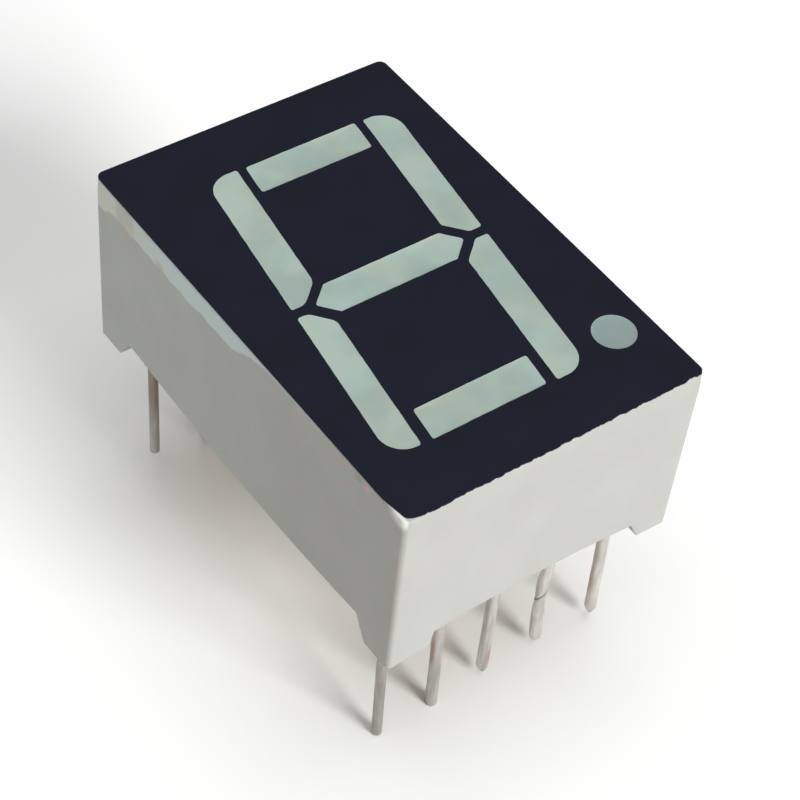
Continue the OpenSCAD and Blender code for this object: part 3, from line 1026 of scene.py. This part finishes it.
class DISPLAY_OT_resin(Operator):
    """The cast resin: eight windows, their wells, the sheet before the board and the seal round it"""

    bl_idname = "display.resin"
    bl_label = "Resin"

    EDGE_STEP = 0.25 * MM  # longest step round the board
    CREEP_STEPS = 8  # steps on the slope that creeps over the board's back
    REACH_WANDER, CLIMB_WANDER = 1.3 * MM, 2.0 * MM  # distances over which the slope's ends wander

    def window(self, shape, ring):
        """A window's surface, sunk a little towards its middle."""
        sink = chosen("resin").sink
        edge = [Vector(vertex.co[:2]) for vertex in ring]
        centre = sum(edge, Vector((0, 0))) / len(edge)
        rings = [ring]
        for share in (0.985, 0.95, 0.88, 0.75, 0.5, 0.25):
            depth = sink * (1 - share ** 2) ** 0.6
            rings.append(shape.ring([centre.lerp(p, share) for p in edge], FACE_HIGH.z - depth))
        shape.sleeve(rings)
        shape.fan(rings[-1], (*centre, FACE_HIGH.z - sink))

    def creep(self, point, out, share):
        """Where the resin's skin is on its way from the wall to its edge on the board's back."""
        sizes = chosen("resin")
        reach = sizes.reach + sizes.wander * wander(point.x, point.y, self.REACH_WANDER, 3.1)
        climb = sizes.climb * (1 + 0.35 * wander(point.x, point.y, self.CLIMB_WANDER, 6.6))
        return (*(point - out * reach * share), BOARD_LOW.z - climb * (1 - share) ** 2.3)

    def execute(self, context):
        casing = chosen("casing")
        reflector = BOARD_HIGH.z + casing.reflector_gap
        shape = Shape()
        wells, hollows = shape.wells_and_hollows(
            reflector, FACE_HIGH.z, FACE_HIGH.z - casing.hollow_roof
        )
        for low, high in wells:
            self.window(shape, high)

        opening = Vector((CASING_HIGH.x - casing.long_wall, CASING_HIGH.y - casing.short_wall))
        outline = rounded_box(opening, casing.opening_r, 8, self.EDGE_STEP)

        def ring_at(inset, z):
            return shape.ring([p - out * inset for p, out in outline], z)

        gap = opening.x - BOARD_HIGH.x
        rings = [ring_at(0, reflector), ring_at(0, BOARD_LOW.z)]
        for share in shares(self.CREEP_STEPS):
            rings.append(shape.ring([self.creep(p, out, share) for p, out in outline]))
        rings += [ring_at(gap, BOARD_LOW.z), ring_at(gap, BOARD_HIGH.z)]
        shape.sleeve(rings)
        shape.plane(rings[0], *(low for low, high in wells + hollows))
        shape.plane(rings[-1])
        shape.piece("resin_casting", cast_resin(), "cast_resin", ["cast_resin"], sharp=35)
        return {"FINISHED"}


PIN_SIDES = 28  # points round a pin
STRAIGHT_STEPS = 26  # steps up the straight length of a pin
GRIP_EASE = 0.05 * MM  # how far above and below the grip height a pin turns from round to flat

# How each pin ends: how far its tip is above the lowest one, how far it leans by its tip along X and Y,
# and the slope, flat width and rounding of its cut end, all in millimetres
PIN_ENDS = {
    1: (0.0, (0.20, -0.12), (0.0, 0.0, 0.10)),
    2: (0.0, (0.16, -0.10), (0.3, 0.13, 0.05)),
    3: (0.30, (0.02, -0.01), (0.85, 0.0, 0.04)),
    4: (0.32, (0.01, 0.0), (0.15, 0.02, 0.28)),
    5: (0.34, (0.13, -0.08), (1.0, 0.0, 0.06)),
    6: (0.25, (0.05, 0.04), (0.6, 0.04, 0.05)),
    7: (0.18, (-0.04, 0.03), (0.2, 0.06, 0.07)),
    8: (0.3, (0.02, -0.03), (0.7, 0.0, 0.05)),
    9: (0.24, (0.03, 0.02), (0.0, 0.0, 0.09)),
    10: (0.93, (0.14, -0.10), (0.1, 0.12, 0.03)),
}

# How light each pin is painted beside the stated tin colour, for the pins that differ: painted light and
# shade for how lit each pin is, with pin 1 darkest partly for the shade it stands in
PIN_PAINTED_LIGHT = {1: 0.68, 2: 0.92, 3: 1.06, 4: 1.2, 5: 1.16, 10: 0.82}

# The pins that narrow, by how much, and the heights between which they do, in millimetres
PIN_NARROWING = {1: 0.14, 10: 0.14}
NARROWING_HEIGHTS = (0.2, -0.8)

# Where a pin swells or narrows: the height and reach of it in millimetres, and by how much
PIN_SWELLS = {4: ((-5.4, 0.9, 0.06), (-4.0, 0.4, -0.13))}

# How far a kinked pin is set off along X and Y, and the heights between which it goes out and comes back,
# in millimetres
PIN_KINKS = {4: ((-0.06, 0.04), (-2.3, -3.1), (-4.2, -6.4))}

# The stains on a pin, in millimetres: their place beside its middle, size, stretch along it and colour
PIN_STAINS = {
    1: [((-0.05, -0.25, -3.6), 0.22, 1.4, (0.42, 0.24, 0.20))],
    2: [
        ((-0.18, -0.08, -0.2), 0.4, 2.2, (0.38, 0.21, 0.18)),
        ((-0.14, 0.0, -3.4), 0.33, 4.0, (0.38, 0.24, 0.20)),
    ],
    3: [((0.21, -0.15, -5.5), 0.38, 3.0, (0.50, 0.15, 0.13))],
    5: [((-0.12, 0.02, -4.6), 0.3, 5.0, (0.52, 0.36, 0.34))],
    10: [((-0.1, 0.0, -0.6), 1.4, 3.0, (0.24, 0.19, 0.15))],
}

# The height of the dark slanted ring round a pin, in millimetres
PIN_RINGS = {4: -3.6}


def pin_place(number):
    """Where a pin stands. They are numbered round the part from the front left."""
    sizes = chosen("pins")
    place = number - 3 if number <= 5 else 8 - number
    row = -1 if number <= 5 else 1
    return Vector((place * sizes.pitch, row * sizes.row_pitch / 2))


def pin_section(z, angle):
    """Distance of a pin's surface from its middle: round below, flattened where it grips its hole."""
    sizes = chosen("pins")
    flat = smooth_step(z, sizes.grip_z - GRIP_EASE, sizes.grip_z + GRIP_EASE)
    power = 5
    across = abs(math.cos(angle)) / (sizes.grip_w / 2)
    through = abs(math.sin(angle)) / (sizes.grip_t / 2)
    block = (across ** power + through ** power) ** (-1 / power)
    return sizes.diameter / 2 * (1 - flat) + block * flat


class DISPLAY_OT_pins(Operator):
    """The ten pins, each with its own cut end and lean"""

    bl_idname = "display.pins"
    bl_label = "Pins"

    END_LENGTH = 0.42 * MM  # length over which the cut end's edge evens out
    UNEVENNESS = 0.012  # share by which a pin's thickness wanders

    def shift(self, number, z):
        """How far the pin's middle is from its hole's at a height."""
        share = min(max((SOLDER_END - z) / (SOLDER_END - CAD_BOX[0].z), 0), 1)
        moved = Vector(PIN_ENDS[number][1]) * MM * share ** 0.8
        if number in PIN_KINKS:
            aside, out, back = PIN_KINKS[number]
            kink = smooth_step(z / MM, *out) * (1 - smooth_step(z / MM, *back))
            moved += Vector(aside) * MM * kink
        return moved

    def thickness(self, number, z):
        """The pin's size at a height, beside its stated size."""
        swell = 1 + self.UNEVENNESS * wander(number * 1.3, z, 0.9 * MM, 2.2)
        swell *= 1 - PIN_NARROWING.get(number, 0) * smooth_step(z / MM, *NARROWING_HEIGHTS)
        for height, reach, size in PIN_SWELLS.get(number, ()):
            swell *= 1 + size * math.exp(-(((z / MM - height) / reach) ** 2))
        return swell

    def make(self, number):
        rise, _, (slope, flat, rounding) = PIN_ENDS[number]
        foot = pin_place(number)
        bottom = CAD_BOX[0].z + rise * MM
        angles = turns(PIN_SIDES)
        across = unit(math.radians(-36 + 9 * math.sin(number)))

        def offset(z, angle, share=1.0):
            return unit(angle) * pin_section(z, angle) * share * self.thickness(number, z)

        def point(z, angle):
            return (*(foot + self.shift(number, z) + offset(z, angle)), z)

        def cut(away, share):
            """Height of the cut end above its lowest point."""
            bevel = slope * max(0, abs(away.dot(across)) - flat * MM)
            return bevel + rounding * MM * share ** 5

        shape = Shape()
        rings = []
        middle = foot + self.shift(number, bottom)
        for share in (0.2, 0.4, 0.6, 0.75, 0.88, 0.96, 1.0):
            aways = [offset(bottom, angle, share) for angle in angles]
            points = [(*(middle + away), bottom + cut(away, share)) for away in aways]
            rings.append(shape.ring(points))
        ends = [vertex.co.z for vertex in rings[-1]]
        straight = bottom + self.END_LENGTH
        for share in (0.35, 0.7):
            heights = [end + (straight - end) * share for end in ends]
            rings.append(shape.ring([point(z, angle) for z, angle in zip(heights, angles)]))
        grip = chosen("pins").grip_z
        length = grip - 2 * GRIP_EASE - straight
        heights = [straight + length * share for share in shares(STRAIGHT_STEPS)]
        heights += [grip + step * GRIP_EASE for step in (-1, -0.4, 0.4, 1, 8, 20)]
        for z in (*heights, PIN_TOP):
            rings.append(shape.ring([point(z, angle) for angle in angles]))
        shape.sleeve(rings)
        shape.fan(rings[0], (*middle, bottom))
        shape.fan(rings[-1], (*(foot + self.shift(number, PIN_TOP)), PIN_TOP))
        name = f"tinned_pin_{number}"
        # The pin's tin is painted lighter or darker for how lit it stands
        base = shade(paint("tin"), PIN_PAINTED_LIGHT.get(number, 1.0))
        stains = PIN_STAINS.get(number, ())
        material = tinned_pin(name, base, *(foot / MM), stains, PIN_RINGS.get(number))
        shape.piece(name, material, "tinned_pin", [f"pin_{number}"], sharp=50)

    def execute(self, context):
        for number in PIN_ENDS:
            self.make(number)
        return {"FINISHED"}


class DISPLAY_OT_solder(Operator):
    """The ten solder joints, each drawn up its pin in a hollow curve"""

    bl_idname = "display.solder"
    bl_label = "Solder"

    SIDES = 32  # points round a joint
    STEPS = 12  # steps down the hollow curve
    TIP_RANGE = 0.12 * MM  # how far the tip's height wanders
    TIP_FILM, FOOT_FILM = 0.012 * MM, 0.062 * MM  # least thickness at the tip and at the foot

    def skin(self, number, angle, share):
        """The joint's skin from its tip on the pin, at share 0, to its foot on the board, at share 1."""
        sizes = chosen("pins")
        way = unit(angle)
        lumpy = wander(number + way.x, way.y, 1.4, number * 2.7)
        tip = SOLDER_END + self.TIP_RANGE * (0.5 + 0.5 * lumpy)
        z = tip + (HOLE_BACK - tip) * share
        pin = pin_section(z, angle)
        spread = (sizes.solder_d / 2 * (1 + 0.04 * lumpy) - pin) * share ** 2.4
        highlight_band = self.TIP_FILM + (self.FOOT_FILM - self.TIP_FILM) * share
        radius = min(pin + highlight_band + spread, sizes.solder_d / 2 * 1.04)
        return (*(pin_place(number) + way * radius), z)

    def execute(self, context):
        sizes = chosen("pins")
        grip, ease = sizes.grip_z, 1.2 * GRIP_EASE
        bore = (PIN_TOP, 1.8 * MM, HOLE_BACK)
        inner = (*bore, grip + ease, grip, grip - ease, SOLDER_END + 0.14 * MM)
        angles = turns(self.SIDES)
        shape = Shape()
        for number in PIN_ENDS:
            centre = pin_place(number)
            rings = []
            for share in shares(self.STEPS):
                rings.append(shape.ring([self.skin(number, angle, share) for angle in angles]))
            for z in (HOLE_BACK, PIN_TOP):
                rings.append(shape.ring([centre + p for p in circle(sizes.bore, self.SIDES)], z))
            for z in inner:
                points = [centre + unit(angle) * pin_section(z, angle) * 1.002 for angle in angles]
                rings.append(shape.ring(points, z))
            shape.sleeve(rings + rings[:1])
        shape.piece("solder_fillets", solder_finish(), "solder", ["solder_joints"], sharp=50)
        return {"FINISHED"}


class DISPLAY_OT_inside(Operator):
    """The finishes of the board, its copper, the chips and their wires"""

    bl_idname = "display.inside"
    bl_label = "Board, chips and wires"

    def execute(self, context):
        glue = speckled_finish("silver_glue", paint("glue"), 0.45, 0.8)
        chip = speckled_finish("light_chip", paint("chip"), 0.3, 0.0)
        gold = metal_finish("gold_wire", paint("gold"), 0.2)
        copper = metal_finish("copper", paint("copper"), 0.32)
        finishes = {
            "circuit_board": laminate_finish(),
            "front_tracks": copper,
            "plated_holes": copper,
            "die_bonds": glue,
        }
        for name in LIGHT_NAMES:
            finishes[f"chip_{name}"] = chip
            finishes["wire_d_bar" if name == "d" else f"wire_{name}"] = gold
        for name, material in finishes.items():
            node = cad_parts[name]
            node.data.materials.clear()
            node.data.materials.append(material)
        return {"FINISHED"}


class DISPLAY_OT_stage(Operator):
    """The pale floor, the soft light and the camera"""

    bl_idname = "display.stage"
    bl_label = "Stage"

    def execute(self, context):
        stage = chosen("stage")
        self.floor(stage)
        self.light(context, stage)
        data = bpy.data.cameras.new("camera")
        data.sensor_width = 36
        data.lens = stage.lens
        data.clip_start, data.clip_end = 1 * MM, 10
        camera = bpy.data.objects.new("camera", data)
        camera.location = stage.camera_place
        camera.rotation_euler = Euler(stage.camera_turn)
        context.scene.collection.objects.link(camera)
        context.scene.camera = camera
        return {"FINISHED"}

    def floor(self, stage):
        shape = bmesh.new()
        bmesh.ops.create_grid(shape, x_segments=8, y_segments=8, size=stage.floor_size / 2)
        bmesh.ops.translate(shape, verts=shape.verts, vec=(0, 0, CAD_BOX[0].z))
        data = bpy.data.meshes.new("floor")
        shape.to_mesh(data)
        shape.free()
        data.materials.append(floor_finish())
        floor = bpy.data.objects.new("floor", data)
        bpy.context.scene.collection.objects.link(floor)

    def light(self, context, stage):
        context.scene.view_settings.view_transform = "Standard"
        world = bpy.data.worlds.new("studio")
        world.use_nodes = True
        sky = Nodes(world.node_tree)
        lit = sky.node("ShaderNodeBackground", {}, {"Color": (1, 1, 1, 1), "Strength": stage.sky})
        seen = sky.node("ShaderNodeBackground", {}, {"Color": (*paint("backdrop"), 1)})
        direct = sky.node("ShaderNodeLightPath").outputs["Is Camera Ray"]
        mix = sky.node("ShaderNodeMixShader", {}, {0: direct, 1: lit.outputs[0], 2: seen.outputs[0]})
        sky.node("ShaderNodeOutputWorld", {}, {"Surface": mix.outputs[0]})
        context.scene.world = world
        self.soft_light("front_light", stage.front_light, stage.front_spread, stage.front_way)
        self.soft_light("top_light", stage.top_light, stage.top_spread, (0, 0, 1))

    def soft_light(self, name, strength, spread, way):
        """A wide light from far away; spread is the angle that it covers."""
        data = bpy.data.lights.new(name, "SUN")
        data.energy = strength
        data.angle = spread
        light = bpy.data.objects.new(name, data)
        light.rotation_euler = Vector(way).to_track_quat("Z", "Y").to_euler()
        bpy.context.scene.collection.objects.link(light)


class DISPLAY_PT_pieces(Panel):
    """Lists the pieces and their sizes"""

    bl_idname = "DISPLAY_PT_pieces"
    bl_label = "Seven Segment Display"
    bl_space_type = "VIEW_3D"
    bl_region_type = "UI"
    bl_category = "Display"

    def draw(self, context):
        for group in GROUPS:
            box = self.layout.box()
            values = getattr(context.scene, group)
            for name in values.bl_rna.properties.keys():
                if name not in {"rna_type", "name"}:
                    box.prop(values, name)
        for piece in PIECES:
            self.layout.operator(piece.bl_idname)


GROUPS = {
    "display_casing": CasingSizes,
    "display_digit": DigitSizes,
    "display_print": PrintSizes,
    "display_resin": ResinSizes,
    "display_pins": PinSizes,
    "display_colours": FinishColours,
    "display_stage": StageSettings,
}
PIECES = (
    DISPLAY_OT_casing,
    DISPLAY_OT_face_print,
    DISPLAY_OT_resin,
    DISPLAY_OT_pins,
    DISPLAY_OT_solder,
    DISPLAY_OT_inside,
    DISPLAY_OT_stage,
)


def register():
    for cls in (*GROUPS.values(), *PIECES, DISPLAY_PT_pieces):
        bpy.utils.register_class(cls)
    for name, group in GROUPS.items():
        setattr(bpy.types.Scene, name, PointerProperty(type=group))


def unregister():
    for name in GROUPS:
        delattr(bpy.types.Scene, name)
    for cls in (DISPLAY_PT_pieces, *reversed(PIECES), *reversed(GROUPS.values())):
        bpy.utils.unregister_class(cls)


def main():
    register()
    bpy.ops.display.casing()
    bpy.ops.display.face_print()
    bpy.ops.display.resin()
    bpy.ops.display.pins()
    bpy.ops.display.solder()
    bpy.ops.display.inside()
    bpy.ops.display.stage()


if __name__ == "__main__":
    main()
